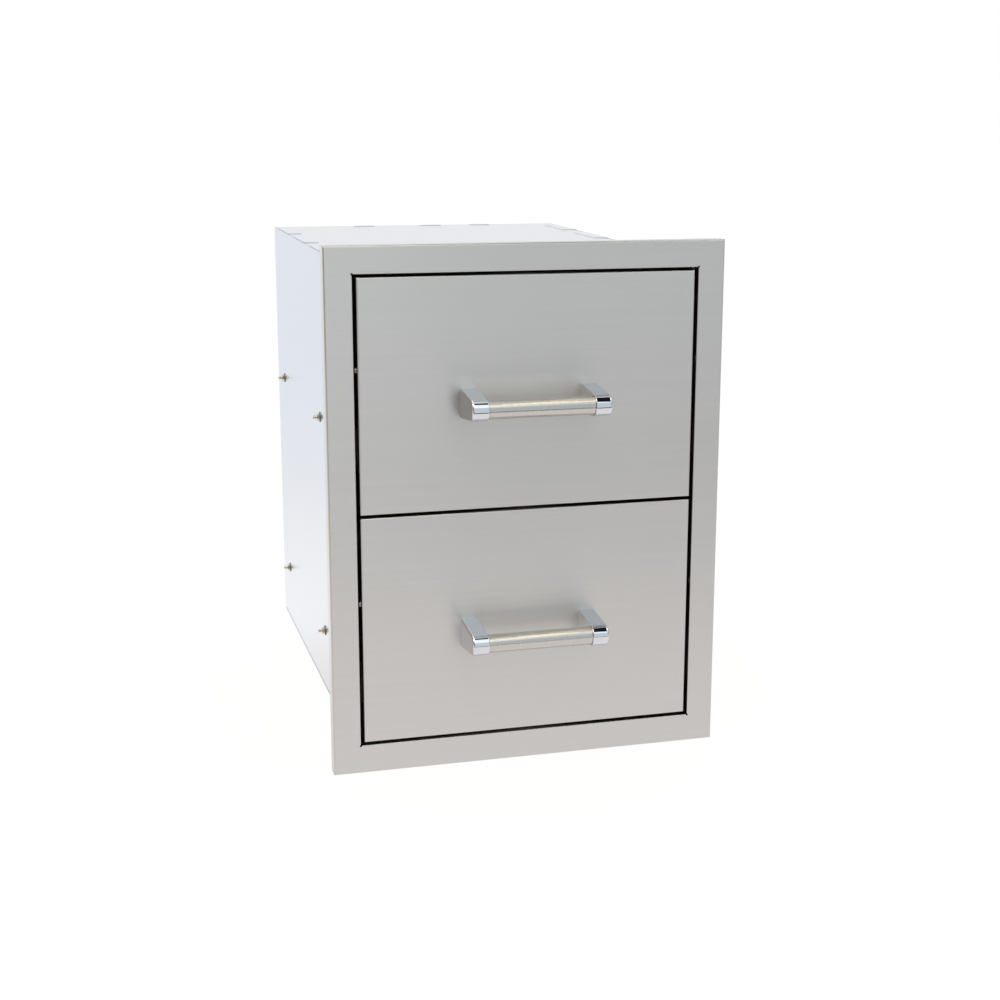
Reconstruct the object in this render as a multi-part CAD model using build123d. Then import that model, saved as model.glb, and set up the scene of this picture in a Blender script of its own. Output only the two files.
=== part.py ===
from build123d import *
from math import acos, atan2, cos, degrees, hypot, radians, sin
import os

# Built-in double drawer unit for an outdoor kitchen, folded from stainless sheet, in millimetres.
# X is to the right, Y goes back into the wall and Z is up. The origin is the middle of the sill of
# the wall's cut-out: Y is 0 at the wall's face, where the frame's lip ends, and Z is 0 under the housing.

# Face frame
FRAME_WIDTH = 444.5
FRAME_HEIGHT = 580.0
FRAME_LIP = 16.0  # outer lip, from the face back to the wall
FRAME_SHEET = 1.2
FRAME_SIDE_BAND = 30.5  # visible band beside the opening
FRAME_TOP_BAND = 29.5
FRAME_BOTTOM_BAND = 32.0
FRAME_RETURN = 18.0  # return round the opening, from the face
FRAME_BEND = 2.0  # outside radius of the outer edges
OPENING_BEND = 0.8  # outside radius of the opening's edges
RELIEF_LENGTH = 1.5  # round-ended holes past the opening's corners
RELIEF_WIDTH = 2.4
RETURN_NOTCH = 3.0  # returns end short of the corners
LIP_SEAM = 0.8  # open seams at the outer corners
LIP_SEAM_DEPTH = 2.0

# Housing
HOUSING_SHEET = 1.0
SHEET_BEND = 1.5  # radius of the sheet's middle line at a fold
HOUSING_DROP = 8.5  # underside below the opening
HOUSING_RISE = 5.8  # top above the opening
HOUSING_FLANGE = 12.0  # flanges behind the frame's face
WELD_GAP = 2.0  # roof to the frame's return and to the back
TOP_FLANGE = 15.0
SIDE_FLANGE = 18.0  # lower edges of the sides, turned in
SIDE_TAB_COUNT = 4  # tabs of the sides folded over the top
SIDE_TAB_LENGTH = 90.0
SIDE_TAB_WIDTH = 18.0
SIDE_TAB_PITCH = 137.0
SIDE_TAB_INSET = 76.0  # rear tab's middle to the back
BACK_FLANGE = 8.0
BACK_TAB_PLACES = (-73.0, 19.0, 88.0)
BACK_TAB_WIDTH = 27.0
BACK_TAB_LENGTH = 10.0

# Drawer fronts
DRAWER_NAMES = ("lower", "upper")
FRONT_SIDE_GAP = 4.1
FRONT_GAP = 3.5  # above, between and below the fronts
FRONT_DEPTH = 19.0
FRONT_SHEET = 1.0
FRONT_BEND = 1.5
LINER_FLANGE = 9.0
FRONT_SCREW_RISE = 155.0  # above the front's lower edge
FRONT_SCREW_RADIUS = 1.9
FRONT_SCREW_LENGTH = 6.0
FRONT_SCREW_HEAD_RADIUS = 3.5
FRONT_SCREW_HEAD = 2.0

# Trays
TRAY_SHEET = 1.0
TRAY_RISE = 22.0  # floor above the front's lower edge
TRAY_TOP_DROP = 52.0  # sides below the front's upper edge
TRAY_HEM = 8.0
TRAY_HEM_LIP = 5.0
TRAY_FLOOR_FLANGE = 12.0  # floor's front edge turned down against the liner
TRAY_SIDE_FLANGE = 6.0  # sides' front edges turned out against it
TRAY_BACK_DROP = 8.0
TRAY_BACK_FLANGE = 12.0

# Ball-bearing slides, laid out across their thickness from the housing's side inwards
SLIDE_LENGTH = 550.0
SLIDE_HEIGHT = 46.0
SLIDE_RISES = (63.0, 68.5)  # middles above the fronts' lower edges
SLIDE_SETBACK = 3.0  # behind the front and the frame's return
SLIDE_END_GAP = 1.7
TRAVEL_SHORT = 20.0  # travel less than the length
OUTER_SHEET = 1.2
OUTER_BEND = 1.2
MIDDLE_SHEET = 1.0
MIDDLE_BEND = 0.75
MIDDLE_SHORT = 10.0
INNER_SHEET = 1.0
INNER_BEND = 0.65
CAGE_SHEET = 0.4
CAGE_BEND = 0.6
CAGE_END_GAP = 10.0
CAGE_RIM = 0.5  # strip past the balls' holes
BALL_RADIUS = 1.75
BALL_GAP = 0.15  # ball to race
BALLS_PER_ROW = 2
RUN_GAP = 0.3
RACE_TURN = 50.0  # degrees from level where the races turn
RACE_LIP = 15.0  # degrees above level where the outer race ends
MIDDLE_RACE_START = 65.0  # degrees below level
MIDDLE_RACE_LIP = 45.0
INNER_RACE_END = 30.0
BUMPER_GAP = 0.5
BUMPER_HEIGHT = 14.0
BUMPER_ROOM = 1.5  # bumper to the inner member
BUMPER_CORNER = 2.0

# Slide fasteners
BOLT_RADIUS = 2.0
BOLT_HEAD = 1.0
BOLT_HEAD_RADIUS = 4.5
BOLT_REACH = 8.8  # tip past the housing's side
BOLT_FRONT_INSET = 200.0
BOLT_REAR_INSET = 51.0
HOLE_GAP = 0.2  # shank to hole
WASHER_RADIUS = 6.0
WASHER_SHEET = 0.8
NUT_GAP = 0.1
NUT_ACROSS = 7.0  # across the flats
NUT_HEIGHT = 3.2
NUT_CHAMFER = 0.4
NUT_TURN = 20.0  # degrees
RECESS_SHARE = 0.6  # reach of a head's cross recess in its radius
RECESS_WIDTH = 0.9
RECESS_DEPTH = 1.2
RIVET_RADIUS = 2.0
RIVET_HEAD_RADIUS = 4.0
RIVET_HEAD = 1.2
RIVET_TAIL_RADIUS = 3.0
RIVET_TAIL = 1.5
RIVET_INSET = 45.0
RIVETS_PER_SIDE = 3

# Handles
HANDLE_LENGTH = 154.5
HANDLE_RISE = 117.0  # tube above the front's lower edge
HANDLE_REACH = 43.0  # tube's middle from the front
TUBE_RADIUS = 10.0
TUBE_WALL = 1.2
TUBE_SOCKET = 12.0
TUBE_GAP = 0.05
SOCKET_MOUTH = 0.6  # widening where the tube goes in
POST_WIDTH = 18.5
POST_BASE = 33.0  # height on the front
POST_NOSE_WALL = 1.75  # nose round the tube
POST_EDGE = 2.4  # radius of the outer side's edges
POST_INNER_EDGE = 0.8
HANDLE_SCREW_RADIUS = 2.5
HANDLE_SCREW_BITE = 14.0  # into the post
HANDLE_SCREW_HEAD = 3.0
HANDLE_SCREW_HEAD_RADIUS = 4.5
SCREW_TIP_GAP = 2.0

# Places worked out from the sizes above
face_y = -FRAME_LIP
opening_half = FRAME_WIDTH / 2 - FRAME_SIDE_BAND
opening_height = FRAME_HEIGHT - FRAME_TOP_BAND - FRAME_BOTTOM_BAND
opening_z = HOUSING_DROP
frame_z = opening_z - FRAME_BOTTOM_BAND
frame_back_y = face_y + FRAME_SHEET
return_y = face_y + FRAME_RETURN
housing_half = opening_half + FRAME_SHEET  # inside the sides
housing_outer = housing_half + HOUSING_SHEET
housing_height = HOUSING_DROP + opening_height + HOUSING_RISE

front_half = opening_half - FRONT_SIDE_GAP
front_height = (opening_height - FRONT_GAP * (len(DRAWER_NAMES) + 1)) / len(DRAWER_NAMES)
front_back_y = face_y + FRONT_DEPTH
front_screw_y = front_back_y - LINER_FLANGE / 2

slide_y = face_y + max(FRONT_DEPTH, FRAME_RETURN) + SLIDE_SETBACK
slide_end_y = slide_y + SLIDE_LENGTH
travel = SLIDE_LENGTH - TRAVEL_SHORT
housing_depth = slide_end_y + SLIDE_END_GAP + BACK_FLANGE
back_inner_y = housing_depth - HOUSING_SHEET
bolt_ys = (slide_y + BOLT_FRONT_INSET, slide_end_y - BOLT_REAR_INSET)
cage_start = travel / 4 + CAGE_END_GAP
cage_length = SLIDE_LENGTH - MIDDLE_SHORT - travel / 2 - 2 * CAGE_END_GAP
rivet_step = (SLIDE_LENGTH - 2 * RIVET_INSET) / (RIVETS_PER_SIDE - 1)
rivet_ys = [slide_y + RIVET_INSET + n * rivet_step for n in range(RIVETS_PER_SIDE)]

# Slide section: u runs from the housing's side inwards, v up from the slide's middle
outer_track = BALL_RADIUS + BALL_GAP + OUTER_SHEET / 2
middle_track = BALL_RADIUS + BALL_GAP + MIDDLE_SHEET / 2
inner_track = BALL_RADIUS + BALL_GAP + INNER_SHEET / 2
outer_web_u = OUTER_SHEET / 2
outer_cage_u = OUTER_SHEET + BOLT_HEAD + RUN_GAP + CAGE_SHEET / 2
middle_web_u = outer_cage_u + CAGE_SHEET / 2 + RUN_GAP + MIDDLE_SHEET / 2
inner_cage_u = middle_web_u + MIDDLE_SHEET / 2 + RUN_GAP + CAGE_SHEET / 2
middle_start = cos(radians(MIDDLE_RACE_START))
outer_ball_u = middle_web_u + MIDDLE_BEND * (1 + middle_start) + middle_track * middle_start
outer_ball_v = SLIDE_HEIGHT / 2 - OUTER_SHEET / 2 - outer_track
inner_ball_u = outer_ball_u + 2 * middle_track * cos(radians(RACE_TURN))
inner_ball_v = outer_ball_v - 2 * middle_track * sin(radians(RACE_TURN))
inner_end = cos(radians(INNER_RACE_END))
inner_web_u = inner_ball_u + inner_track * inner_end + INNER_BEND * (1 + inner_end)
slide_thickness = inner_web_u + INNER_SHEET / 2

tray_half = housing_half - slide_thickness
tray_inner = tray_half - TRAY_SHEET
tray_height = front_height - TRAY_RISE - TRAY_TOP_DROP
post_x = (HANDLE_LENGTH - POST_WIDTH) / 2
tube_y = face_y - HANDLE_REACH
nose_radius = TUBE_RADIUS + TUBE_GAP + POST_NOSE_WALL


def along_x(section, x0, x1):
    """A section drawn in Y and Z, carried from x0 to x1."""
    return extrude(Plane((x0, 0, 0), x_dir=(0, 1, 0), z_dir=(1, 0, 0)) * section, x1 - x0)


def along_y(section, y0, y1):
    """A section drawn in X and Z, carried from y0 to y1."""
    return extrude(Plane((0, y0, 0), x_dir=(1, 0, 0), z_dir=(0, -1, 0)) * section, y0 - y1)


def along_z(section, z0, z1):
    """A section drawn in X and Y, carried from z0 to z1."""
    return extrude(Plane((0, 0, z0)) * section, z1 - z0)


def folded(points, thickness, bend=SHEET_BEND):
    """Section of a folded sheet, from the corners of its middle line."""
    return trace(FilletPolyline(*points, radius=bend), thickness)


def block(x0, x1, y0, y1, z0, z1):
    """A square cut between two corners."""
    return Pos((x0 + x1) / 2, (y0 + y1) / 2, (z0 + z1) / 2) * Box(x1 - x0, y1 - y0, z1 - z0)


def rod_x(radius, x0, x1, y, z):
    """A round bar along X."""
    return Pos((x0 + x1) / 2, y, z) * Rot(0, 90, 0) * Cylinder(radius, abs(x1 - x0))


def rod_y(radius, y0, y1, x, z):
    """A round bar along Y."""
    return Pos(x, (y0 + y1) / 2, z) * Rot(90, 0, 0) * Cylinder(radius, abs(y1 - y0))


def other_hand(part):
    """The right-hand copy of a left-hand part."""
    return mirror(part, about=Plane.YZ)


def polar(centre, radius, angle):
    """The point at an angle on a circle."""
    return (centre[0] + radius * cos(radians(angle)), centre[1] + radius * sin(radians(angle)))


def front_z(drawer):
    """Lower edge of a drawer's front."""
    return opening_z + FRONT_GAP + drawer * (front_height + FRONT_GAP)


def slide_z(drawer):
    """Middle of a drawer's slides."""
    return front_z(drawer) + SLIDE_RISES[drawer]


def opening_section(margin):
    """The frame's opening, grown by a margin."""
    size = Rectangle(2 * (opening_half + margin), opening_height + 2 * margin)
    return Pos(0, opening_z + opening_height / 2) * size


def front_frame():
    """Pan with an outer lip, a return round the opening and relieved corners."""
    pan = block(-FRAME_WIDTH / 2, FRAME_WIDTH / 2, face_y, 0, frame_z, frame_z + FRAME_HEIGHT)
    pan = fillet(pan.faces().sort_by(Axis.Y)[0].edges(), FRAME_BEND)
    pan = offset(pan, -FRAME_SHEET, openings=pan.faces().sort_by(Axis.Y)[-1])
    pan -= along_y(opening_section(0), face_y, frame_back_y)
    pan += along_y(opening_section(FRAME_SHEET) - opening_section(0), face_y, return_y)
    pan = fillet(pan.faces().sort_by(Axis.Y)[0].inner_wires()[0].edges(), OPENING_BEND)
    relief = SlotOverall(RELIEF_LENGTH * 2, RELIEF_WIDTH)
    notch = Rectangle(RETURN_NOTCH * 2, RETURN_NOTCH * 2)
    seam = Rectangle(LIP_SEAM_DEPTH * 2, LIP_SEAM)
    for side in (-1, 1):
        for z, lip_z, lean in (
            (opening_z, frame_z, side * 45),
            (opening_z + opening_height, frame_z + FRAME_HEIGHT, side * -45),
        ):
            corner = Pos(side * opening_half, z)
            outer_corner = Pos(side * FRAME_WIDTH / 2, lip_z)
            pan -= along_y(corner * Rot(0, 0, -lean) * relief, face_y, frame_back_y)
            pan -= along_y(corner * notch, frame_back_y, return_y)
            pan -= along_y(outer_corner * Rot(0, 0, -lean) * seam, face_y + FRAME_BEND, 0)
    return pan


def housing_side():
    """Left side: lower edge turned in, tabs folded over the top, holes for the slides' bolts."""
    web_x = -housing_half - HOUSING_SHEET / 2
    floor_z = 1.5 * HOUSING_SHEET
    tab_z = housing_height + HOUSING_SHEET / 2
    wall = [(web_x + SIDE_FLANGE, floor_z), (web_x, floor_z), (web_x, housing_height)]
    panel = along_y(folded(wall, HOUSING_SHEET), frame_back_y, housing_depth)
    tab = [(web_x, housing_height - SIDE_TAB_WIDTH), (web_x, tab_z), (web_x + SIDE_TAB_WIDTH, tab_z)]
    tab_section = folded(tab, HOUSING_SHEET)
    for n in range(SIDE_TAB_COUNT):
        y = housing_depth - SIDE_TAB_INSET - n * SIDE_TAB_PITCH
        panel += along_y(tab_section, y - SIDE_TAB_LENGTH / 2, y + SIDE_TAB_LENGTH / 2)
    for drawer in range(len(DRAWER_NAMES)):
        for y in bolt_ys:
            panel -= rod_x(BOLT_RADIUS + HOLE_GAP, -housing_outer, -housing_half, y, slide_z(drawer))
    return panel


def housing_top():
    """Roof between the sides, with a flange behind the frame."""
    z = housing_height - HOUSING_SHEET / 2
    x = housing_half - HOUSING_SHEET / 2
    front = frame_back_y + HOUSING_SHEET / 2
    roof = [(-x, z - TOP_FLANGE), (-x, z), (x, z), (x, z - TOP_FLANGE)]
    panel = along_y(folded(roof, HOUSING_SHEET), return_y + WELD_GAP, back_inner_y - WELD_GAP)
    flange = [(front, z + HOUSING_FLANGE), (front, z), (slide_y + TOP_FLANGE, z)]
    return panel + along_x(folded(flange, HOUSING_SHEET), SHEET_BEND - x, x - SHEET_BEND)


def housing_bottom():
    """Floor under the sides, with a flange behind the frame."""
    z = HOUSING_SHEET / 2
    front = frame_back_y + HOUSING_SHEET / 2
    floor = [(front, z - HOUSING_FLANGE), (front, z), (housing_depth, z)]
    return along_x(folded(floor, HOUSING_SHEET), -housing_outer, housing_outer)


def housing_back():
    """Back between the sides, with tabs folded over the top."""
    x = housing_half - HOUSING_SHEET / 2
    y = housing_depth - HOUSING_SHEET / 2
    tab_z = housing_height + HOUSING_SHEET / 2
    wall = [(-x, housing_depth - BACK_FLANGE), (-x, y), (x, y), (x, housing_depth - BACK_FLANGE)]
    panel = along_z(folded(wall, HOUSING_SHEET), 2 * HOUSING_SHEET + SHEET_BEND, housing_height)
    notch_z = housing_height - HOUSING_SHEET - TOP_FLANGE - WELD_GAP
    notch_y = back_inner_y - BACK_FLANGE
    panel -= block(-housing_half, housing_half, notch_y, back_inner_y, notch_z, housing_height)
    tab = [(y, housing_height - BACK_TAB_LENGTH), (y, tab_z), (y - BACK_TAB_LENGTH, tab_z)]
    for middle in BACK_TAB_PLACES:
        panel += along_x(folded(tab, HOUSING_SHEET), middle - BACK_TAB_WIDTH / 2, middle + BACK_TAB_WIDTH / 2)
    return panel


def both_flanges(half_path, thickness):
    """Whole slide section from the middle line of its upper half."""
    return trace([*half_path, *(mirror(e, about=Plane.XZ) for e in half_path)], thickness)


def outer_section():
    """Channel on the housing, its flanges rolled round the outer balls."""
    ball = (outer_ball_u, outer_ball_v)
    race = polar(ball, outer_track, 180 - RACE_TURN)
    turn = 90 - RACE_TURN
    flange_v = race[1] - OUTER_BEND * (1 - cos(radians(turn)))
    flange_u = race[0] - OUTER_BEND * sin(radians(turn))
    corner_v = flange_v - OUTER_BEND
    path = [
        Line((outer_web_u, 0), (outer_web_u, corner_v)),
        CenterArc((outer_web_u + OUTER_BEND, corner_v), OUTER_BEND, 180, -90),
        Line((outer_web_u + OUTER_BEND, flange_v), (flange_u, flange_v)),
        CenterArc((flange_u, flange_v + OUTER_BEND), OUTER_BEND, -90, turn),
        CenterArc(ball, outer_track, 180 - RACE_TURN, RACE_TURN + RACE_LIP - 180),
    ]
    return both_flanges(path, OUTER_SHEET)


def middle_section():
    """Channel whose flanges pass under the outer balls and over the inner ones."""
    outer_ball = (outer_ball_u, outer_ball_v)
    inner_ball = (inner_ball_u, inner_ball_v)
    turn = 180 - MIDDLE_RACE_START
    start_v = outer_ball_v - (middle_track + MIDDLE_BEND) * sin(radians(MIDDLE_RACE_START))
    path = [
        Line((middle_web_u, 0), (middle_web_u, start_v)),
        CenterArc((middle_web_u + MIDDLE_BEND, start_v), MIDDLE_BEND, 180, -turn),
        CenterArc(outer_ball, middle_track, -turn, turn - RACE_TURN),
        CenterArc(inner_ball, middle_track, 180 - RACE_TURN, RACE_TURN + MIDDLE_RACE_LIP - 180),
    ]
    return both_flanges(path, MIDDLE_SHEET)


def inner_section():
    """Channel on the tray, its flanges curled under the inner balls."""
    ball = (inner_ball_u, inner_ball_v)
    turn = 180 - INNER_RACE_END
    start_v = inner_ball_v - (inner_track + INNER_BEND) * sin(radians(INNER_RACE_END))
    path = [
        Line((inner_web_u, 0), (inner_web_u, start_v)),
        CenterArc((inner_web_u - INNER_BEND, start_v), INNER_BEND, 0, turn),
        CenterArc(ball, inner_track, -INNER_RACE_END, 2 * INNER_RACE_END - 180),
    ]
    return both_flanges(path, INNER_SHEET)


def on_left_wall(section, y0, y1):
    """A slide section carried along the housing's left side, middle at Z 0."""
    return along_y(Pos(-housing_half, 0) * section, y0, y1)


def outer_member():
    """Left outer member with its bolt holes."""
    member = on_left_wall(outer_section(), slide_y, slide_end_y)
    for y in bolt_ys:
        member -= rod_x(BOLT_RADIUS + HOLE_GAP, -housing_half, -housing_half + OUTER_SHEET, y, 0)
    return member


def middle_member():
    """Left middle member."""
    return on_left_wall(middle_section(), slide_y, slide_end_y - MIDDLE_SHORT)


def inner_member():
    """Left inner member with its rivet holes."""
    member = on_left_wall(inner_section(), slide_y, slide_end_y)
    for y in rivet_ys:
        member -= rod_x(RIVET_RADIUS + HOLE_GAP, -tray_half - INNER_SHEET, -tray_half, y, 0)
    return member


def ball_places(ball_u, ball_v):
    """Middles of the balls of one left cage."""
    step = cage_length / BALLS_PER_ROW
    rows = [slide_y + cage_start + (n + 0.5) * step for n in range(BALLS_PER_ROW)]
    return [(ball_u - housing_half, y, v) for y in rows for v in (-ball_v, ball_v)]


def ball_cage(web_u, ball_u, ball_v):
    """Left strip folded round to both rows of balls, with a hole for each."""
    rim_u = ball_u + BALL_RADIUS + BALL_GAP + CAGE_RIM
    strip = [(rim_u, ball_v), (web_u, ball_v), (web_u, -ball_v), (rim_u, -ball_v)]
    cage_y = slide_y + cage_start
    cage = on_left_wall(folded(strip, CAGE_SHEET, CAGE_BEND), cage_y, cage_y + cage_length)
    for place in ball_places(ball_u, ball_v):
        cage -= Pos(*place) * Cylinder(BALL_RADIUS + BALL_GAP, 2 * CAGE_SHEET)
    return cage


def ball_set(ball_u, ball_v):
    """Balls of one left cage."""
    return [Pos(*place) * Sphere(BALL_RADIUS) for place in ball_places(ball_u, ball_v)]


def slide_bumper():
    """Left rear stop inside the outer member."""
    width = slide_thickness - INNER_SHEET - BUMPER_ROOM - OUTER_SHEET
    section = Pos(OUTER_SHEET + width / 2, 0) * RectangleRounded(width, BUMPER_HEIGHT, BUMPER_CORNER)
    return on_left_wall(section, slide_end_y - MIDDLE_SHORT + BUMPER_GAP, slide_end_y)


def slide_bolt():
    """Left bolt, head inside the slide and tip outside the housing, at Y and Z 0."""
    seat_x = OUTER_SHEET - housing_half
    shank = rod_x(BOLT_RADIUS, -housing_outer - BOLT_REACH, seat_x, 0, 0)
    shank = chamfer(shank.faces().sort_by(Axis.X)[0].edges(), BOLT_RADIUS / 4)
    return shank + rod_x(BOLT_HEAD_RADIUS, seat_x, seat_x + BOLT_HEAD, 0, 0)


def slide_washer():
    """Left washer on the housing's side, at Y and Z 0."""
    nut_x = -housing_outer - WASHER_SHEET
    disc = rod_x(WASHER_RADIUS, nut_x, -housing_outer, 0, 0)
    return disc - rod_x(BOLT_RADIUS + HOLE_GAP, nut_x, -housing_outer, 0, 0)


def slide_nut():
    """Left nut on its washer, corners turned off at both ends, at Y and Z 0."""
    seat_x = -housing_outer - WASHER_SHEET
    top_x = seat_x - NUT_HEIGHT
    corner = NUT_ACROSS / 2 / cos(radians(30))
    flats = Rot(0, 0, NUT_TURN) * RegularPolygon(corner, 6)
    round_bar = rod_x(corner, top_x, seat_x, 0, 0)
    round_bar = chamfer(round_bar.edges().filter_by(GeomType.CIRCLE), NUT_CHAMFER)
    nut = along_x(flats, top_x, seat_x) & round_bar
    return nut - rod_x(BOLT_RADIUS + NUT_GAP, top_x, seat_x, 0, 0)


def cross_recess(head_radius):
    """Cross for a driver in a screw's head."""
    arm = Rectangle(2 * RECESS_SHARE * head_radius, RECESS_WIDTH)
    return arm + Rot(0, 0, 90) * arm


def slide_rivet():
    """Left rivet through the tray's side and the inner member, at Y and Z 0."""
    head = rod_x(RIVET_HEAD_RADIUS, -tray_inner, RIVET_HEAD - tray_inner, 0, 0)
    head = chamfer(head.faces().sort_by(Axis.X)[-1].edges(), RIVET_HEAD / 2)
    tail_x = -tray_half - INNER_SHEET
    shank = rod_x(RIVET_RADIUS, tail_x, -tray_inner, 0, 0)
    return head + shank + rod_x(RIVET_TAIL_RADIUS, tail_x - RIVET_TAIL, tail_x, 0, 0)


def drawer_front():
    """Folded front pan, lower edge at Z 0, with holes for the handle and the side screws."""
    pan = block(-front_half, front_half, face_y, front_back_y, 0, front_height)
    pan = fillet(pan.faces().sort_by(Axis.Y)[0].edges(), FRONT_BEND)
    pan = offset(pan, -FRONT_SHEET, openings=pan.faces().sort_by(Axis.Y)[-1])
    return pan - handle_holes() - front_screw_holes()


def front_liner():
    """Inner skin that closes the back of the front pan."""
    x = front_half - FRONT_SHEET
    liner = block(-x, x, front_back_y - LINER_FLANGE, front_back_y, FRONT_SHEET, front_height - FRONT_SHEET)
    liner = offset(liner, -FRONT_SHEET, openings=liner.faces().sort_by(Axis.Y)[0])
    return liner - handle_holes() - front_screw_holes()


def handle_holes():
    """Clearance for the handle's screws through the front and the liner."""
    radius = HANDLE_SCREW_RADIUS + HOLE_GAP
    return [rod_y(radius, face_y, front_back_y, x, HANDLE_RISE) for x in (-post_x, post_x)]


def front_screw_holes():
    """Clearance for the screws in the side returns."""
    radius = FRONT_SCREW_RADIUS + HOLE_GAP
    inside = front_half - 2 * FRONT_SHEET
    return [rod_x(radius, s * inside, s * front_half, front_screw_y, FRONT_SCREW_RISE) for s in (-1, 1)]


def front_screw():
    """Left screw in the front's side return, lower edge of the front at Z 0."""
    tip_x = FRONT_SCREW_LENGTH - front_half
    top_x = -front_half - FRONT_SCREW_HEAD
    head = rod_x(FRONT_SCREW_HEAD_RADIUS, top_x, -front_half, front_screw_y, 0)
    head = chamfer(head.faces().sort_by(Axis.X)[0].edges(), FRONT_SCREW_HEAD / 2)
    recess = Pos(front_screw_y, 0) * cross_recess(FRONT_SCREW_HEAD_RADIUS)
    head -= along_x(recess, top_x, top_x + RECESS_DEPTH)
    screw = head + rod_x(FRONT_SCREW_RADIUS, -front_half, tip_x, front_screw_y, 0)
    return Pos(0, 0, FRONT_SCREW_RISE) * screw


def tray(drawer):
    """Floor and sides from one sheet, hemmed and flanged, lower edge of the front at Z 0."""
    half = TRAY_SHEET / 2
    side_x = tray_half - half
    floor_z = TRAY_RISE + half
    hem_z = TRAY_RISE + tray_height - half
    lip_x = side_x - TRAY_HEM
    right = [(side_x, floor_z), (side_x, hem_z), (lip_x, hem_z), (lip_x, hem_z - TRAY_HEM_LIP)]
    left = [(-x, z) for x, z in reversed(right)]
    relief = 2 * SHEET_BEND
    flange_y = front_back_y + half
    fold_y = flange_y + relief
    shell = along_y(folded(left + right, TRAY_SHEET), fold_y, slide_end_y)
    foot_z = floor_z - TRAY_FLOOR_FLANGE
    floor = [(flange_y, foot_z), (flange_y, floor_z), (fold_y + TRAY_FLOOR_FLANGE, floor_z)]
    shell += along_x(folded(floor, TRAY_SHEET), relief - tray_half, tray_half - relief)
    side = [(-side_x - TRAY_SIDE_FLANGE, flange_y), (-side_x, flange_y), (-side_x, fold_y + TRAY_SIDE_FLANGE)]
    flange = along_z(folded(side, TRAY_SHEET), floor_z + relief, hem_z - relief)
    shell += flange + other_hand(flange)
    for y in rivet_ys:
        for x in (-tray_half, tray_inner):
            shell -= rod_x(RIVET_RADIUS + HOLE_GAP, x, x + TRAY_SHEET, y, SLIDE_RISES[drawer])
    return shell


def tray_back():
    """Rear wall of the tray, front's lower edge at Z 0."""
    x = tray_inner - TRAY_SHEET / 2
    y = slide_end_y - TRAY_SHEET / 2
    wall = [(-x, slide_end_y - TRAY_BACK_FLANGE), (-x, y), (x, y), (x, slide_end_y - TRAY_BACK_FLANGE)]
    foot_z = TRAY_RISE + TRAY_SHEET + SHEET_BEND
    return along_z(folded(wall, TRAY_SHEET), foot_z, TRAY_RISE + tray_height - TRAY_SHEET - TRAY_BACK_DROP)


def post_section():
    """Side view of a handle post: a tall base drawn in to a nose round the tube, tube at Z 0."""
    base = POST_BASE / 2
    spread = atan2(base, HANDLE_REACH) + acos(nose_radius / hypot(HANDLE_REACH, base))
    upper = polar((tube_y, 0), nose_radius, degrees(spread))
    outline = [
        Line((face_y, -base), (face_y, base)),
        Line((face_y, base), upper),
        ThreePointArc(upper, (tube_y - nose_radius, 0), (upper[0], -upper[1])),
        Line((upper[0], -upper[1]), (face_y, -base)),
    ]
    return make_face(Wire(outline))


def handle_post():
    """Left post with a socket for the tube and a screw hole, front's lower edge at Z 0."""
    outer_x = -HANDLE_LENGTH / 2
    inner_x = outer_x + POST_WIDTH
    post = along_x(post_section(), outer_x, inner_x)
    rim = [e for e in post.edges().group_by(Axis.X)[0] if e.center().Y < face_y - POST_EDGE]
    post = fillet(rim, POST_EDGE)
    rim = [e for e in post.edges().group_by(Axis.X)[-1] if e.center().Y < face_y - POST_INNER_EDGE]
    post = fillet(rim, POST_INNER_EDGE)
    post -= rod_x(TUBE_RADIUS + TUBE_GAP, inner_x - TUBE_SOCKET, inner_x, tube_y, 0)
    post -= rod_x(TUBE_RADIUS + SOCKET_MOUTH, inner_x - SOCKET_MOUTH, inner_x, tube_y, 0)
    hole_y = face_y - HANDLE_SCREW_BITE - SCREW_TIP_GAP
    post -= rod_y(HANDLE_SCREW_RADIUS + NUT_GAP, hole_y, face_y, -post_x, 0)
    return Pos(0, 0, HANDLE_RISE) * post


def handle_bar():
    """Tube between the sockets of the posts."""
    end_x = HANDLE_LENGTH / 2 - POST_WIDTH + TUBE_SOCKET
    tube = rod_x(TUBE_RADIUS, -end_x, end_x, tube_y, HANDLE_RISE)
    return tube - rod_x(TUBE_RADIUS - TUBE_WALL, -end_x, end_x, tube_y, HANDLE_RISE)


def handle_screw():
    """Left screw from inside the drawer into its post."""
    top_y = front_back_y + HANDLE_SCREW_HEAD
    head = rod_y(HANDLE_SCREW_HEAD_RADIUS, front_back_y, top_y, -post_x, HANDLE_RISE)
    head = chamfer(head.faces().sort_by(Axis.Y)[-1].edges(), HANDLE_SCREW_HEAD / 3)
    recess = Pos(-post_x, HANDLE_RISE) * cross_recess(HANDLE_SCREW_HEAD_RADIUS)
    head -= along_y(recess, top_y - RECESS_DEPTH, top_y)
    return head + rod_y(HANDLE_SCREW_RADIUS, face_y - HANDLE_SCREW_BITE, front_back_y, -post_x, HANDLE_RISE)


def save(name, *solids):
    """Writes one sub-part, a single piece or a group of like pieces."""
    whole = solids[0] if len(solids) == 1 else Compound(children=list(solids))
    export_step(whole, f"parts/{name}.step")


def both_sides(solids):
    """Left-hand pieces with their right-hand copies."""
    return [*solids, *(other_hand(s) for s in solids)]


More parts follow.
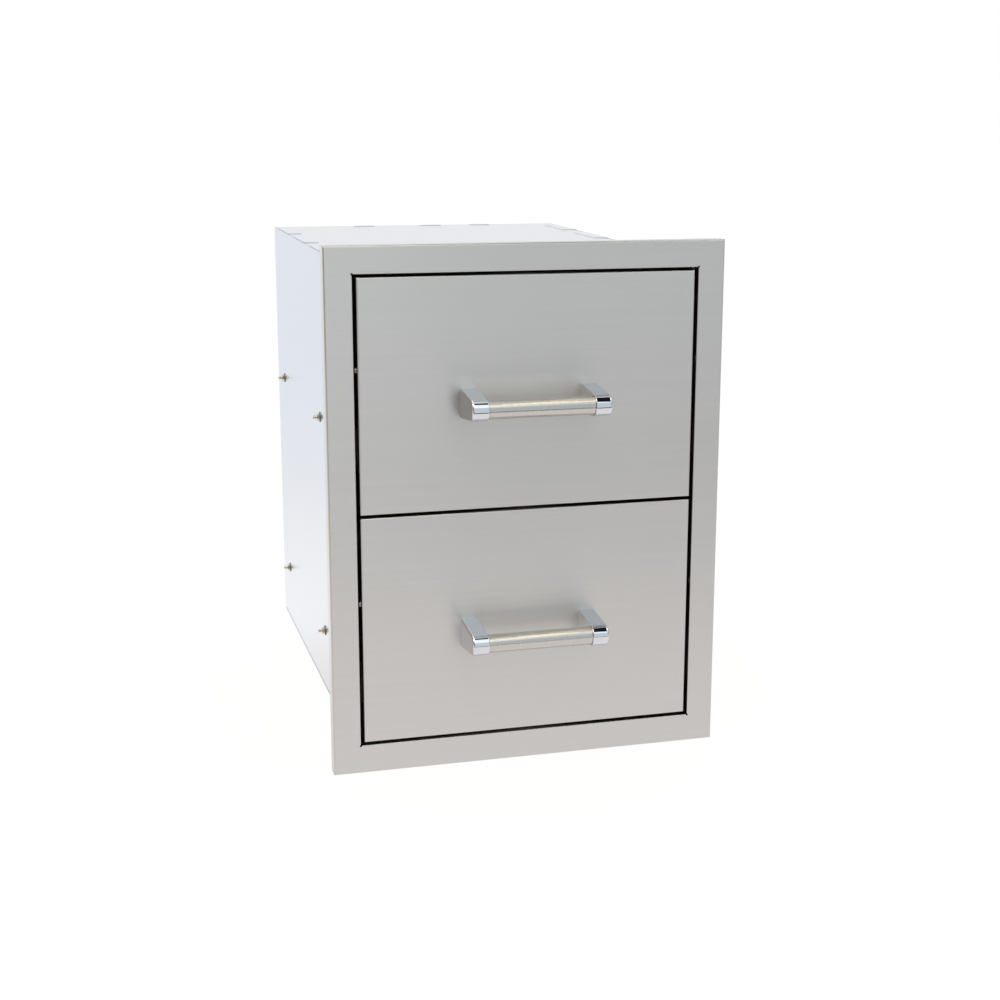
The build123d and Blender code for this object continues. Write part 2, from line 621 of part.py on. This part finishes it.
def save_housing():
    """The fixed body: frame, housing, outer slide members and their fasteners."""
    save("front_frame", front_frame())
    left = housing_side()
    save("housing_left_side", left)
    save("housing_right_side", other_hand(left))
    save("housing_top", housing_top())
    save("housing_bottom", housing_bottom())
    save("housing_back", housing_back())
    bolt_places = [Pos(0, y, slide_z(d)) for d in range(len(DRAWER_NAMES)) for y in bolt_ys]
    save("slide_bolts", *both_sides([place * slide_bolt() for place in bolt_places]))
    save("slide_washers", *both_sides([place * slide_washer() for place in bolt_places]))
    save("slide_nuts", *both_sides([place * slide_nut() for place in bolt_places]))
    bumpers = [Pos(0, 0, slide_z(d)) * slide_bumper() for d in range(len(DRAWER_NAMES))]
    save("slide_bumpers", *both_sides(bumpers))


def save_slides(name, drawer):
    """Members, cages and balls of one drawer's two slides."""
    lift = Pos(0, 0, slide_z(drawer))
    members = (("outer", outer_member()), ("middle", middle_member()), ("inner", inner_member()))
    for kind, member in members:
        save(f"{name}_left_slide_{kind}", lift * member)
        save(f"{name}_right_slide_{kind}", lift * other_hand(member))
    rows = (
        ("outer", outer_cage_u, outer_ball_u, outer_ball_v),
        ("inner", inner_cage_u, inner_ball_u, inner_ball_v),
    )
    for kind, web_u, ball_u, ball_v in rows:
        cages = both_sides([ball_cage(web_u, ball_u, ball_v)])
        save(f"{name}_{kind}_ball_cages", *(lift * cage for cage in cages))
        save(f"{name}_{kind}_balls", *(lift * ball for ball in both_sides(ball_set(ball_u, ball_v))))
    rivets = [Pos(0, y, 0) * slide_rivet() for y in rivet_ys]
    save(f"{name}_slide_rivets", *(lift * rivet for rivet in both_sides(rivets)))


def save_drawer(name, drawer):
    """Front, tray and handle of one drawer."""
    lift = Pos(0, 0, front_z(drawer))
    save(f"{name}_drawer_front", lift * drawer_front())
    save(f"{name}_front_liner", lift * front_liner())
    save(f"{name}_front_screws", *(lift * screw for screw in both_sides([front_screw()])))
    save(f"{name}_tray", lift * tray(drawer))
    save(f"{name}_tray_back", lift * tray_back())
    save(f"{name}_handle_bar", lift * handle_bar())
    post = handle_post()
    save(f"{name}_handle_left_post", lift * post)
    save(f"{name}_handle_right_post", lift * other_hand(post))
    save(f"{name}_handle_screws", *(lift * screw for screw in both_sides([handle_screw()])))


os.makedirs("parts", exist_ok=True)
save_housing()
for number, drawer_name in enumerate(DRAWER_NAMES):
    save_slides(drawer_name, number)
    save_drawer(drawer_name, number)
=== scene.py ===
from math import radians, tau

import bmesh
import bpy
from mathutils import Matrix, Vector


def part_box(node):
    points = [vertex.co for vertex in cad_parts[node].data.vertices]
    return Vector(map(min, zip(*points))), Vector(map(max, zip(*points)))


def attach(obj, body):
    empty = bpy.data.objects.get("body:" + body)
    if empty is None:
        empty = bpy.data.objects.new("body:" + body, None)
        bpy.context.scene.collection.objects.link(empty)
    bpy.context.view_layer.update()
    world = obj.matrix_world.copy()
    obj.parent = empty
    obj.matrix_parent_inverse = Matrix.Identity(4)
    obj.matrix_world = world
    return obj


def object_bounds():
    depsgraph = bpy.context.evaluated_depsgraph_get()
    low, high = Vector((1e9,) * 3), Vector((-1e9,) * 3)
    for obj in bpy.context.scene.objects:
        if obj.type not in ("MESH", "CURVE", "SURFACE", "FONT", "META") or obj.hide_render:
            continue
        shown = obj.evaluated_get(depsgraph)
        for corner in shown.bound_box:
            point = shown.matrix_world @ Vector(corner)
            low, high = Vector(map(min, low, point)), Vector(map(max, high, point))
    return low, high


# Looks of a built-in double drawer unit in brushed stainless steel, in metres, in the CAD part's frame.
# X is to the right, Y goes back into the wall and Z is up.

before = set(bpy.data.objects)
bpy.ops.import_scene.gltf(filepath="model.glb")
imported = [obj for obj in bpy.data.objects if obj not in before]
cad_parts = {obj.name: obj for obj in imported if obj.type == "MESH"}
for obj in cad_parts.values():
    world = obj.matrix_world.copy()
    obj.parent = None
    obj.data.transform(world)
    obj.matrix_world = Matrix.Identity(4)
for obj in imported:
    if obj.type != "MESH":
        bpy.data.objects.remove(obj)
cad_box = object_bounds()

# Camera
CAMERA_PLACE = Vector((-0.5030, -1.8009, 0.7102))
CAMERA_AIM = Vector((0.0242, -0.0160, 0.2590))
CAMERA_ROLL = 0.419  # degrees
CAMERA_LENS = 62.4  # millimetres
CAMERA_SENSOR = 36.0  # millimetres
CAMERA_SHIFT = (-0.0503, 0.0139)

WHITE = (1.0, 1.0, 1.0, 1.0)

# Floor sheet. Its tones show in the metal only, and each comes in or ends between two values of Y.
FLOOR_Z = cad_box[0][2]
FLOOR_FRONT = -1.30
FLOOR_BACK = 9.0
FLOOR_SIDE = 9.0
FLOOR_GLOW = 0.92  # share of the floor that stays white in shadow
FLOOR_EDGE_TONE = (0.03, 0.025, 0.03, 1.0)  # strip along the front edge
FLOOR_TONE = (0.97, 0.92, 0.90, 1.0)
FLOOR_START = (-0.92, -0.90)
FLOOR_BEHIND_TONE = (1.13, 1.115, 1.095, 1.0)
FLOOR_BEHIND_START = (0.2, 0.6)
FLOOR_BEHIND_END = (0.6, 1.6)
FLOOR_FAR_TONE = (0.945, 0.965, 1.01, 1.0)
FLOOR_FAR_START = (1.2, 2.8)

# Studio round the unit. Each tone comes in or ends between two values of a direction's X, Y or Z.
ROOM_LOW_TONE = (0.745, 0.77, 0.785, 1.0)
ROOM_HIGH_TONE = (0.70, 0.79, 0.81, 1.0)
ROOM_HIGH_START = (-0.25, 0.50)  # Z
WALL_TONE = (0.96, 1.0, 1.03, 1.0)
WALL_END = (0.10, 0.26)  # X
SIDE_TONE = (0.50, 0.51, 0.53, 1.0)
SIDE_START = (0.45, 0.65)  # X
WINDOW_TONE = (1.24, 1.34, 1.38, 1.0)
WINDOW_START = (0.50, 0.56)  # Z
CEILING_TONE = (0.78, 0.77, 0.69, 1.0)
CEILING_START = (0.88, 0.92)  # Z
LAMP_TONE = (5.6, 4.75, 3.35, 1.0)
LAMP_START = (0.77, 0.82)  # Z
LAMP_MIDDLE = 0.24  # X half-way between the lamps
LAMP_INNER_EDGE = (0.16, 0.21)  # X from there, to both sides
LAMP_BACK_EDGE = (-0.16, -0.06)  # Y
FLAG_TONE = (0.010, 0.012, 0.020, 1.0)
FLAG_TIP = -0.2  # Y where its bent inner edge is furthest left
FLAG_LEAN = 0.08
FLAG_SPREAD = 0.29
FLAG_INNER_EDGE = (0.197, 0.207)  # X at the tip
FLAG_OUTER_EDGE = (0.36, 0.40)  # X
FLAG_LOWER_EDGE = (0.55, 0.62)  # Z
CURTAIN_TONE = (0.38, 0.36, 0.325, 1.0)
CURTAIN_HEIGHTS = (-0.45, 0.64)  # Z of its lower and upper ends
CURTAIN_SOFTNESS = 0.06
CURTAIN_END = (-0.20, -0.08)  # X
VIEWER_TONE = (0.02, 0.02, 0.02, 1.0)
VIEWER_SIDES = (-0.20, -0.06)  # X
VIEWER_SOFTNESS = 0.02
BACKDROP_START = (0.15, 0.25)  # Y

# Finishes, with lines and grains per metre
SCRATCHES = (9.0, 1900.0)  # along and across the brushing
STROKES = (2.5, 260.0)
DRIFT = 5.0
ROLL_LINES = (500.0, 3.0)  # across and along the rolling
SHEET_CLOUDS = 9.0
SHEET_SPECKS = 700.0
ZINC_GRAINS = 900.0
ZINC_CLOUDS = 60.0
BUFFING_MARKS = 400.0
BUFFING_HAZE = 45.0
TUBE_RINGS = (2600.0, 40.0)  # along and round the tube
TUBE_BANDS = (240.0, 8.0)
PLASTIC_PITS = 1500.0

# Shares of a finish's own colour. The fold and cut-end shares darken it as painted shade.
BRUSHED_FOLD_SHADE = 0.4
SHEET_FOLD_SHADE = 0.62
CUT_END_SHADE = 0.1
ZINC_DARK_GRAIN = 0.6
ZINC_WARM = (1.05, 1.01, 0.90)
ZINC_COOL = (0.93, 0.98, 1.04)

# A surface's look changes between two values of its normal's X, Y or Z.
TURNED_AWAY = (0.6, 0.8)  # X on a folded face's sides, Z on its top and underside
# Painted shade: a dark line where a top fold starts
TOP_FOLD_SHADE_FIRST = (0.80, 0.90)  # Z
TOP_FOLD_SHADE_LAST = (0.985, 0.998)  # Z
# Painted shade on the housing sheet's folds
SHEET_FOLD_SHADE_SLOPE = (0.2, 0.4)  # X times Z
# Painted shade on the slides' ends facing front and back
CUT_END_SHADE_SLOPE = (0.8, 0.95)  # Y

# Bolt tips outside the housing
BOLT_DEPTHS = (0.206, 0.505)
BOLT_HEIGHTS = (0.075, 0.338)
BOLT_RADIUS = 0.002
BOLT_TIP = 0.0005  # tip's chamfer
THREAD_PITCH = 0.0007
THREAD_FOOT = 0.000294  # half the width of a ridge's foot
THREAD_DEPTH = 0.00026
THREAD_STEPS = 14  # in one turn
THREAD_END_GAP = 0.0004
SAME_POINT = 1e-7


class Wire:
    """A node's output that takes part in Python sums, each of which adds a Math node."""

    def __init__(self, bench, socket):
        self.bench = bench
        self.socket = socket

    def other(self, name):
        """Another output of the same node."""
        return Wire(self.bench, self.socket.node.outputs[name])

    def maths(self, operation, *values):
        return self.bench.node("ShaderNodeMath", {"operation": operation}, dict(enumerate(values)))

    def __add__(self, more):
        return self.maths("ADD", self, more)

    def __sub__(self, less):
        return self.maths("SUBTRACT", self, less)

    def __rsub__(self, whole):
        return self.maths("SUBTRACT", whole, self)

    def __mul__(self, times):
        return self.maths("MULTIPLY", self, times)

    def __abs__(self):
        return self.maths("ABSOLUTE", self)

    __radd__ = __add__
    __rmul__ = __mul__


class Bench:
    """The nodes of one material, or of the studio round it."""

    def __init__(self, tree):
        self.tree = tree
        tree.nodes.clear()

    def node(self, kind, settings=None, sockets=None, output=0):
        """Adds a node, gives it its settings, then the values or links of its sockets."""
        made = self.tree.nodes.new(kind)
        for name, value in (settings or {}).items():
            setattr(made, name, value)
        for key, value in (sockets or {}).items():
            if isinstance(value, Wire):
                self.tree.links.new(value.socket, made.inputs[key])
            else:
                made.inputs[key].default_value = value
        return Wire(self, made.outputs[output]) if made.outputs else None

    def split(self, vector):
        """The three numbers of a vector."""
        x = self.node("ShaderNodeSeparateXYZ", None, {0: vector})
        return x, x.other("Y"), x.other("Z")

    def join(self, x, y, z):
        return self.node("ShaderNodeCombineXYZ", None, {0: x, 1: y, 2: z})

    def rise(self, value, low, high):
        """0 below low, 1 above high and smooth between them."""
        soft = {"interpolation_type": "SMOOTHSTEP"}
        return self.node("ShaderNodeMapRange", soft, {0: value, 1: low, 2: high, 3: 0.0, 4: 1.0})

    def fall(self, value, low, high):
        """1 below low, 0 above high and smooth between them."""
        return 1.0 - self.rise(value, low, high)

    def between(self, value, low, high, soft):
        """1 between low and high, with soft ends."""
        return self.rise(value, low - soft, low + soft) * self.fall(value, high - soft, high + soft)

    def mix(self, share, first, second):
        """From the first colour to the second."""
        return self.node("ShaderNodeMix", {"data_type": "RGBA"}, {0: share, 6: first, 7: second}, 2)

    def noise(self, vector, scale=1.0, detail=2.0, roughness=0.5):
        return self.node(
            "ShaderNodeTexNoise",
            None,
            {"Vector": vector, "Scale": scale, "Detail": detail, "Roughness": roughness},
        )

    def bump(self, height, strength, distance):
        sockets = {"Strength": strength, "Distance": distance, "Height": height}
        return self.node("ShaderNodeBump", None, sockets)

    def place(self):
        """Where a point is on the object."""
        return self.node("ShaderNodeTexCoord", None, None, "Object")

    def facing(self):
        """Which way a point's surface looks, as three numbers."""
        return self.split(self.node("ShaderNodeTexCoord", None, None, "Normal"))


def swing(noise, reach):
    """A noise or a random number moved to the middle of 0, with the given reach."""
    return (noise - 0.5) * reach


def shade(colour, factor):
    """A colour made lighter or darker."""
    return (*(channel * factor for channel in colour[:3]), 1.0)


def finish(name, build, **constants):
    """A material whose build function returns the sockets that change over the surface."""
    material = bpy.data.materials.new(name)
    material.use_nodes = True
    bench = Bench(material.node_tree)
    sockets = {key.replace("_", " ").title(): value for key, value in constants.items()}
    surface = bench.node("ShaderNodeBsdfPrincipled", None, {**sockets, **build(bench)})
    bench.node("ShaderNodeOutputMaterial", None, {"Surface": surface})
    return material


def grain(bench):
    """Where a point lies along and across the brushing, which follows the sheet round its folds.

    The third value is 1 on the line where a top fold starts, where brushed paints a dark line of shade.
    """
    x, y, z = bench.split(bench.place())
    nx, _, nz = bench.facing()
    along = x + (y - x) * bench.rise(abs(nx), *TURNED_AWAY)
    across = z + (y - z) * bench.rise(abs(nz), *TURNED_AWAY)
    shaded_fold = bench.rise(nz, *TOP_FOLD_SHADE_FIRST) * bench.fall(nz, *TOP_FOLD_SHADE_LAST)
    return along, across, shaded_fold


def brushed(colour, rough, contrast):
    """Long brushed scratches with a slow drift of tone, and a dark line of shade painted where a top
    fold starts.
    """

    def build(bench):
        along, across, shaded_fold = grain(bench)
        fine = bench.join(along * SCRATCHES[0], across * SCRATCHES[1], 0.0)
        coarse = bench.join(along * STROKES[0], across * STROKES[1], 0.0)
        scratches = bench.noise(fine, detail=3.0, roughness=0.6)
        strokes = bench.noise(coarse)
        drift = bench.noise(bench.place(), DRIFT)
        tone = swing(scratches, 0.9) + swing(strokes, 0.6) + swing(drift, 0.25)
        flat = bench.mix(tone + 0.5, shade(colour, 1.0 - contrast), shade(colour, 1.0 + contrast))
        return {
            # Painted shade: the line where a top fold starts is darkened
            "Base Color": bench.mix(shaded_fold, flat, shade(colour, BRUSHED_FOLD_SHADE)),
            "Roughness": tone * 0.10 + rough,
            "Normal": bench.bump(scratches, 0.06, 0.0002),
        }

    return build


def mill_sheet(colour, rough):
    """Cold-rolled sheet: faint roll lines along the depth, clouds and specks, with folds made rougher
    and painted darker as shade.
    """

    def build(bench):
        x, y, z = bench.split(bench.place())
        nx, _, nz = bench.facing()
        shaded_fold = bench.rise(abs(nx * nz), *SHEET_FOLD_SHADE_SLOPE)
        lines = bench.noise(bench.join(x * ROLL_LINES[0], y * ROLL_LINES[1], z * ROLL_LINES[0]))
        clouds = bench.noise(bench.place(), SHEET_CLOUDS, 3.0, 0.6)
        specks = bench.noise(bench.place(), SHEET_SPECKS, 1.0)
        tone = swing(lines, 0.25) + swing(clouds, 0.5) + swing(specks, 0.1)
        flat = bench.mix(tone + 0.5, shade(colour, 0.98), shade(colour, 1.02))
        return {
            # Painted shade: the folds are darkened
            "Base Color": bench.mix(shaded_fold, flat, shade(colour, SHEET_FOLD_SHADE)),
            "Roughness": swing(clouds, 0.03) + swing(lines, 0.02) + shaded_fold * 0.15 + rough,
        }

    return build


def zinc(colour, rough):
    """Zinc plating: small bright grains with a faint yellow and blue bloom."""
    warm = (*(own * share for own, share in zip(colour, ZINC_WARM)), 1.0)
    cool = (*(own * share for own, share in zip(colour, ZINC_COOL)), 1.0)

    def build(bench):
        cells = {"Vector": bench.place(), "Scale": ZINC_GRAINS}
        bright, bloom, _ = bench.split(bench.node("ShaderNodeTexVoronoi", None, cells, "Color"))
        clouds = bench.noise(bench.place(), ZINC_CLOUDS, 3.0)
        tint = bench.mix(bench.rise(clouds, 0.35, 0.65), cool, warm)
        return {
            "Base Color": bench.mix(bright * 0.16, tint, shade(colour, ZINC_DARK_GRAIN)),
            "Roughness": swing(bloom, 0.10) + swing(clouds, 0.14) + rough,
        }

    return build


def zinc_strip_shaded_ends(colour, rough):
    """Zinc-plated strip whose ends facing front and back are painted dark as shade."""
    plate = zinc(colour, rough)

    def build(bench):
        sockets = plate(bench)
        _, ny, _ = bench.facing()
        # Painted shade: the ends facing front and back are darkened
        shaded_end = bench.rise(abs(ny), *CUT_END_SHADE_SLOPE)
        sockets["Base Color"] = bench.mix(shaded_end, sockets["Base Color"], shade(colour, CUT_END_SHADE))
        return sockets

    return build


def polished(colour, rough):
    """Bright plating with hairline buffing marks."""

    def build(bench):
        marks = bench.noise(bench.place(), BUFFING_MARKS, 3.0, 0.65)
        haze = bench.noise(bench.place(), BUFFING_HAZE)
        return {
            "Base Color": bench.mix(haze, shade(colour, 0.97), shade(colour, 1.03)),
            "Roughness": swing(marks, 0.03) + swing(haze, 0.03) + rough,
        }

    return build


def turned(colour, rough):
    """Tube brushed round its girth, so that the lines run across its length."""

    def build(bench):
        x, y, z = bench.split(bench.place())
        fine = bench.join(x * TUBE_RINGS[0], y * TUBE_RINGS[1], z * TUBE_RINGS[1])
        coarse = bench.join(x * TUBE_BANDS[0], y * TUBE_BANDS[1], z * TUBE_BANDS[1])
        rings = bench.noise(fine, roughness=0.6)
        tone = swing(rings, 0.7) + swing(bench.noise(coarse), 0.4)
        return {
            "Base Color": bench.mix(tone + 0.5, shade(colour, 0.95), shade(colour, 1.05)),
            "Roughness": tone * 0.08 + rough,
            "Normal": bench.bump(rings, 0.05, 0.0001),
        }

    return build


def moulded(colour, rough):
    """Fine-textured black plastic."""

    def build(bench):
        pits = bench.noise(bench.place(), PLASTIC_PITS)
        return {
            "Base Color": bench.mix(pits, shade(colour, 0.8), shade(colour, 1.3)),
            "Roughness": swing(pits, 0.2) + rough,
            "Normal": bench.bump(pits, 0.2, 0.0001),
        }

    return build


def dress(nodes, material):
    """Gives CAD nodes a finish through their material slots."""
    for name in nodes:
        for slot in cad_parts[name].material_slots:
            slot.material = material


def finish_the_steel():
    """Every CAD node gets the finish of what it is made of, with painted shade on folds, slide ends and
    washers. Returns the fasteners' finish.
    """
    face = finish(
        "brushed_face",
        brushed((0.615, 0.607, 0.597), 0.32, 0.05),
        metallic=1.0,
        anisotropic=0.8,
        anisotropic_rotation=0.25,
    )
    inside = finish("tray_sheet", brushed((0.60, 0.60, 0.60), 0.38, 0.05), metallic=1.0)
    sheet = finish("housing_sheet", mill_sheet((0.72, 0.745, 0.80), 0.30), metallic=1.0)
    chrome = finish("chrome_posts", polished((0.70, 0.72, 0.77), 0.04), metallic=1.0)
    tube = finish(
        "satin_tube",
        turned((0.575, 0.565, 0.545), 0.26),
        metallic=1.0,
        anisotropic=0.8,
        anisotropic_rotation=0.0,
    )
    # The slides and ball cages get painted shade on their front and back ends
    plated = finish("slide_zinc", zinc_strip_shaded_ends((0.66, 0.68, 0.70), 0.30), metallic=1.0)
    # The washers are painted near-black as the shade and dark reflection round their rims
    washer_shade = finish("washer_steel_painted_dark", zinc((0.20, 0.195, 0.19), 0.45), metallic=1.0)
    nickel = finish("fastener_nickel", zinc((0.66, 0.645, 0.59), 0.24), metallic=1.0)
    bright = finish("ball_steel", polished((0.72, 0.73, 0.75), 0.09), metallic=1.0)
    plastic = finish("bumper_plastic", moulded((0.02, 0.02, 0.022), 0.5), metallic=0.0)
    sides = ("left", "right")
    rows = ("outer", "inner")
    fasteners = ("front_screws", "handle_screws", "slide_rivets")

    dress(["front_frame"], face)
    dress([f"housing_{wall}" for wall in ("left_side", "right_side", "top", "bottom", "back")], sheet)
    dress(["slide_bolts", "slide_nuts"], nickel)
    dress(["slide_washers"], washer_shade)
    dress(["slide_bumpers"], plastic)
    for drawer in ("lower", "upper"):
        dress([f"{drawer}_drawer_front"], face)
        dress([f"{drawer}_{piece}" for piece in ("front_liner", "tray", "tray_back")], inside)
        dress([f"{drawer}_handle_bar"], tube)
        dress([f"{drawer}_handle_{side}_post" for side in sides], chrome)
        dress([f"{drawer}_{piece}" for piece in fasteners], nickel)
        dress([f"{drawer}_{row}_ball_cages" for row in rows], plated)
        dress([f"{drawer}_{row}_balls" for row in rows], bright)
        for side in sides:
            dress([f"{drawer}_{side}_slide_{member}" for member in ("outer", "middle", "inner")], plated)
    return nickel


def make_object(name, shape, material):
    """An object in the scene from a finished bmesh."""
    mesh = bpy.data.meshes.new(name)
    shape.to_mesh(mesh)
    shape.free()
    mesh.materials.append(material)
    made = bpy.data.objects.new(name, mesh)
    bpy.context.scene.collection.objects.link(made)
    return made


def floor_paper():
    """White to the camera apart from a soft shadow, and toned in the metal's reflections."""
    material = bpy.data.materials.new("floor_paper")
    material.use_nodes = True
    bench = Bench(material.node_tree)
    _, y, _ = bench.split(bench.place())
    tone = bench.mix(bench.rise(y, *FLOOR_START), FLOOR_EDGE_TONE, FLOOR_TONE)
    behind = bench.mix(bench.rise(y, *FLOOR_BEHIND_END), FLOOR_BEHIND_TONE, WHITE)
    tone = bench.mix(bench.rise(y, *FLOOR_BEHIND_START), tone, behind)
    tone = bench.mix(bench.rise(y, *FLOOR_FAR_START), tone, FLOOR_FAR_TONE)
    mirrored = bench.node("ShaderNodeEmission", None, {"Color": tone})
    paper = bench.node("ShaderNodeBsdfDiffuse", None, {"Color": WHITE})
    glow = bench.node("ShaderNodeEmission", None, {"Color": WHITE})
    shown = bench.node("ShaderNodeMixShader", None, {0: FLOOR_GLOW, 1: paper, 2: glow})
    seen = bench.node("ShaderNodeLightPath", None, None, "Is Camera Ray")
    surface = bench.node("ShaderNodeMixShader", None, {0: seen, 1: mirrored, 2: shown})
    bench.node("ShaderNodeOutputMaterial", None, {"Surface": surface})
    return material


def set_the_floor():
    """Pale sheet under the unit."""
    shape = bmesh.new()
    bmesh.ops.create_grid(shape, x_segments=1, y_segments=1, size=1.0)
    half_depth = (FLOOR_BACK - FLOOR_FRONT) / 2
    bmesh.ops.scale(shape, vec=(FLOOR_SIDE, half_depth, 1.0), verts=shape.verts)
    middle = (0.0, FLOOR_FRONT + half_depth, FLOOR_Z)
    bmesh.ops.translate(shape, vec=middle, verts=shape.verts)
    floor = make_object("floor", shape, floor_paper())


def light_the_studio():
    """White backdrop, with a studio in front of it that shows in the bright metal.

    The studio has a window, a ceiling, two lamps, a dark flag, a curtain and a viewer.
    """
    world = bpy.data.worlds.new("studio")
    bpy.context.scene.world = world
    world.use_nodes = True
    bench = Bench(world.node_tree)
    x, y, z = bench.split(bench.node("ShaderNodeTexCoord", None, None, "Generated"))
    tone = bench.mix(bench.rise(z, *ROOM_HIGH_START), ROOM_LOW_TONE, ROOM_HIGH_TONE)
    tone = bench.mix(bench.fall(x, *WALL_END), tone, WALL_TONE)
    tone = bench.mix(bench.rise(x, *SIDE_START), tone, SIDE_TONE)
    tone = bench.mix(bench.rise(z, *WINDOW_START), tone, WINDOW_TONE)
    tone = bench.mix(bench.rise(z, *CEILING_START), tone, CEILING_TONE)

    lamps = bench.rise(z, *LAMP_START) * bench.rise(abs(x - LAMP_MIDDLE), *LAMP_INNER_EDGE)
    lamps *= bench.fall(y, *LAMP_BACK_EDGE)
    tone = bench.mix(lamps, tone, LAMP_TONE)

    ahead = y - FLAG_TIP
    bent = x - ahead * FLAG_LEAN - abs(ahead) * FLAG_SPREAD
    flag = bench.rise(bent, *FLAG_INNER_EDGE) * bench.rise(z, *FLAG_LOWER_EDGE)
    flag *= bench.fall(x, *FLAG_OUTER_EDGE)
    tone = bench.mix(flag, tone, FLAG_TONE)

    low = bench.between(z, *CURTAIN_HEIGHTS, CURTAIN_SOFTNESS)
    curtain = low * bench.fall(x, *CURTAIN_END)
    viewer = low * bench.between(x, *VIEWER_SIDES, VIEWER_SOFTNESS)
    tone = bench.mix(curtain, tone, CURTAIN_TONE)
    tone = bench.mix(viewer, tone, VIEWER_TONE)
    tone = bench.mix(bench.rise(y, *BACKDROP_START), tone, WHITE)
    seen = bench.node("ShaderNodeLightPath", None, None, "Is Camera Ray")
    sky = bench.node("ShaderNodeBackground", None, {"Color": bench.mix(seen, tone, WHITE)})
    bench.node("ShaderNodeOutputWorld", None, {"Surface": sky})


def cut_the_threads(material):
    """A thread on each bolt tip, from its nut to the tip's chamfer."""
    tip_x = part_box("slide_bolts")[1][0] - BOLT_TIP
    nut_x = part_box("slide_nuts")[1][0] + THREAD_END_GAP
    turns = int((tip_x - nut_x) / THREAD_PITCH)
    crest = BOLT_RADIUS + THREAD_DEPTH
    ridge = [(-THREAD_FOOT, BOLT_RADIUS), (THREAD_FOOT, BOLT_RADIUS), (0.0, crest)]
    places = [(side, y, z) for side in (-1, 1) for y in BOLT_DEPTHS for z in BOLT_HEIGHTS]
    shape = bmesh.new()
    for side, y, z in places:
        start = side * nut_x
        middle = start + side * THREAD_FOOT
        profile = shape.faces.new([shape.verts.new((middle + dx, y + out, z)) for dx, out in ridge])
        bmesh.ops.spin(
            shape,
            geom=[profile, *profile.edges, *profile.verts],
            cent=(start, y, z),
            axis=(side, 0.0, 0.0),
            dvec=(side * THREAD_PITCH / THREAD_STEPS, 0.0, 0.0),
            angle=tau * turns,
            steps=THREAD_STEPS * turns,
        )
    bmesh.ops.remove_doubles(shape, verts=shape.verts, dist=SAME_POINT)
    bmesh.ops.holes_fill(shape, edges=[edge for edge in shape.edges if edge.is_boundary])
    bmesh.ops.recalc_face_normals(shape, faces=shape.faces)
    threads = make_object("bolt_threads", shape, material)
    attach(threads, "housing")


def set_the_camera():
    """Camera above and to the left of the unit."""
    lens = bpy.data.cameras.new("camera")
    lens.sensor_width = CAMERA_SENSOR
    lens.lens = CAMERA_LENS
    lens.shift_x, lens.shift_y = CAMERA_SHIFT
    camera = bpy.data.objects.new("camera", lens)
    bpy.context.scene.collection.objects.link(camera)
    turn = (CAMERA_AIM - CAMERA_PLACE).to_track_quat("-Z", "Y").to_matrix().to_4x4()
    roll = Matrix.Rotation(radians(CAMERA_ROLL), 4, "Z")
    camera.matrix_world = Matrix.Translation(CAMERA_PLACE) @ turn @ roll
    bpy.context.scene.camera = camera


nickel_plate = finish_the_steel()
cut_the_threads(nickel_plate)
set_the_floor()
light_the_studio()
set_the_camera()
bpy.context.scene.view_settings.view_transform = "Standard"
